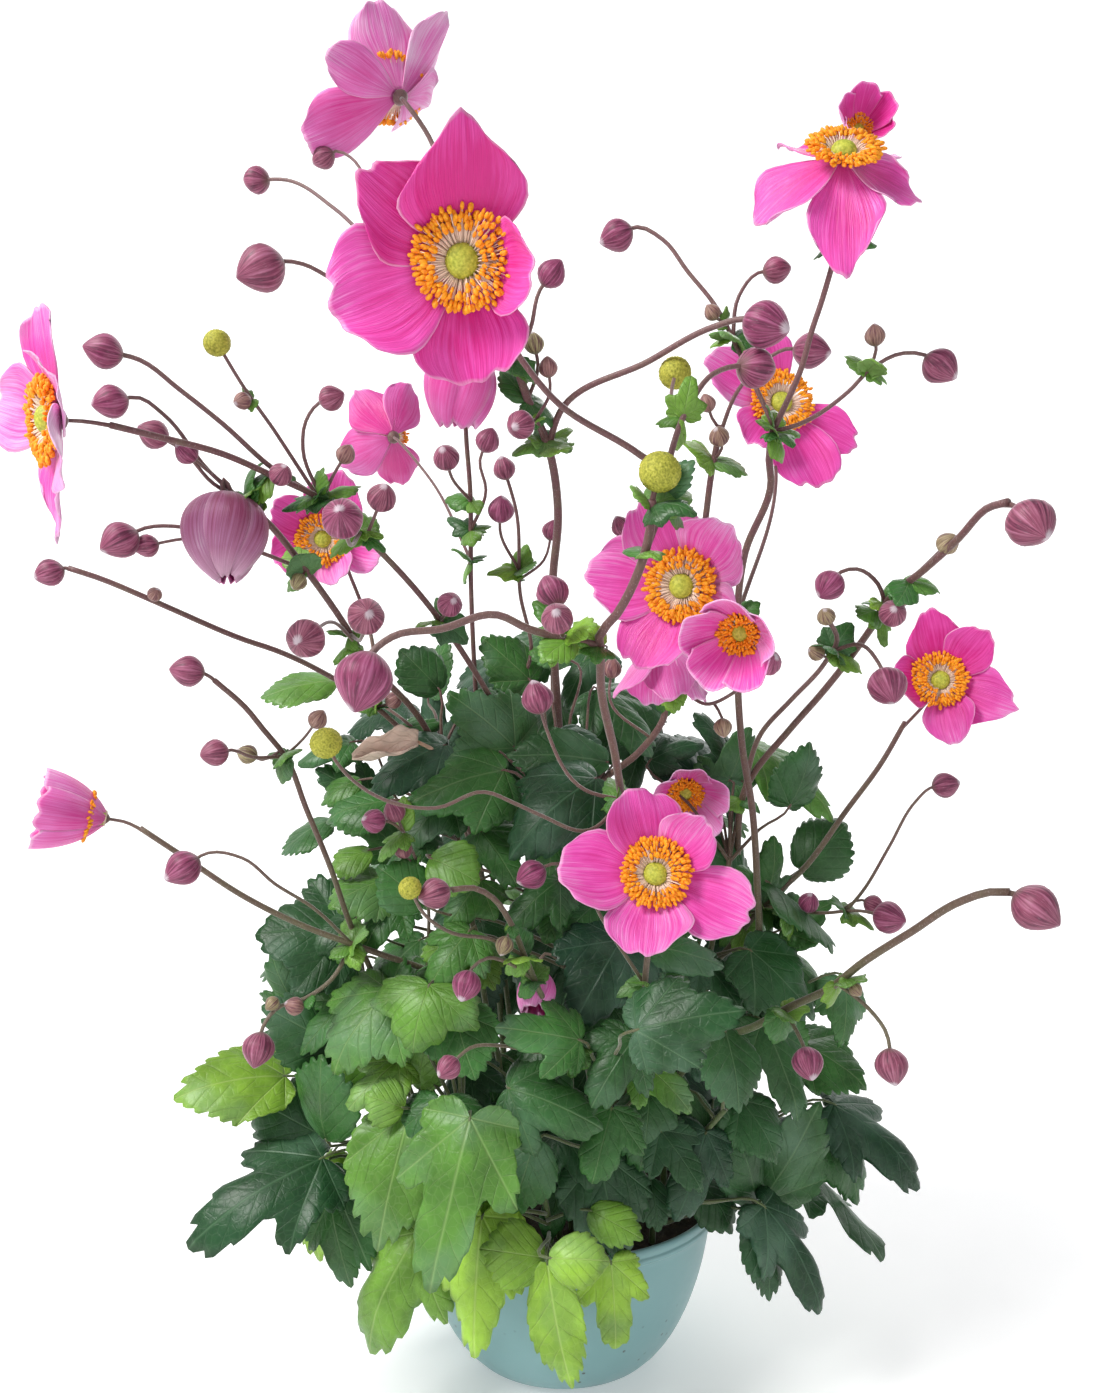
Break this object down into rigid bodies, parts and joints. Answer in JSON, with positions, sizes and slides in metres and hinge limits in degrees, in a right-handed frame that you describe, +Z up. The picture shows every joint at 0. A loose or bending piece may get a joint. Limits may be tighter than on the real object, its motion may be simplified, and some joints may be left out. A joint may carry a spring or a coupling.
{
  "type": "potted japanese anemone",
  "caption": "Japanese anemone in a round plastic pot: lobed leaves, branching stalks with buds and seed heads, and open pink blooms.",
  "frame": {"origin": "centre of the pot's flat base, on the surface that it stands on", "axes": "+Z up along the pot's axis, -Y towards the side that the picture shows, +X to the right in the picture"},
  "size_m": [0.4845, 0.404, 0.6481],
  "materials": {
    "pot": "satin teal plastic",
    "soil": "damp dark potting soil",
    "stalks": "downy purple-brown stalks and buds",
    "petals": "silky pink petals",
    "stamens": "orange-yellow stamens round a green centre",
    "foliage": "dark green leaves with a soft sheen",
    "young_foliage": "light yellow-green young leaves"
  },
  "bodies": {
    "root": {"pot": "pot", "soil": "soil", "stalk_left_tall": "stalks", "stalk_left_bloom": "stalks", "stalk_left_low": "stalks", "stalk_left_mid": "stalks", "stalk_left_cup": "stalks", "stalk_centre_front": "stalks", "stalk_centre_right": "stalks", "stalk_right_tall": "stalks", "stalk_right_high": "stalks", "stalk_right_bloom": "stalks", "stalk_right_low": "stalks", "stalk_front_low": "stalks", "stalk_centre_tall": "stalks", "stalk_centre_thin": "stalks", "heart_large": "stamens", "petals_large": "petals", "petals_nodding": "petals", "heart_top_left": "stamens", "petals_top_left": "petals", "heart_top_right": "stamens", "petals_top_right": "petals", "heart_cup_top": "stamens", "petals_cup_top": "petals", "heart_far_left": "stamens", "petals_far_left": "petals", "petals_turned_away": "petals", "heart_left_behind": "stamens", "petals_left_behind": "petals", "heart_middle": "stamens", "petals_middle": "petals", "petals_hanging": "petals", "heart_cup_middle": "stamens", "petals_cup_middle": "petals", "heart_right": "stamens", "petals_right": "petals", "heart_cup_low": "stamens", "petals_cup_low": "petals", "heart_front": "stamens", "petals_front": "petals", "heart_cup_left": "stamens", "petals_cup_left": "petals", "petals_low": "petals", "heart_right_behind": "stamens", "petals_right_behind": "petals", "petals_opening": "petals", "leaves_left": "foliage", "leaves_left_young": "young_foliage", "leaves_front_left": "foliage", "leaves_front_young": "young_foliage", "leaves_front": "foliage", "leaves_front_high": "foliage", "leaves_left_high": "foliage", "leaves_right": "foliage", "leaves_right_high": "foliage", "leaves_back_left": "foliage", "leaves_back": "foliage", "leaves_back_right": "foliage"}
  },
  "joints": []
}
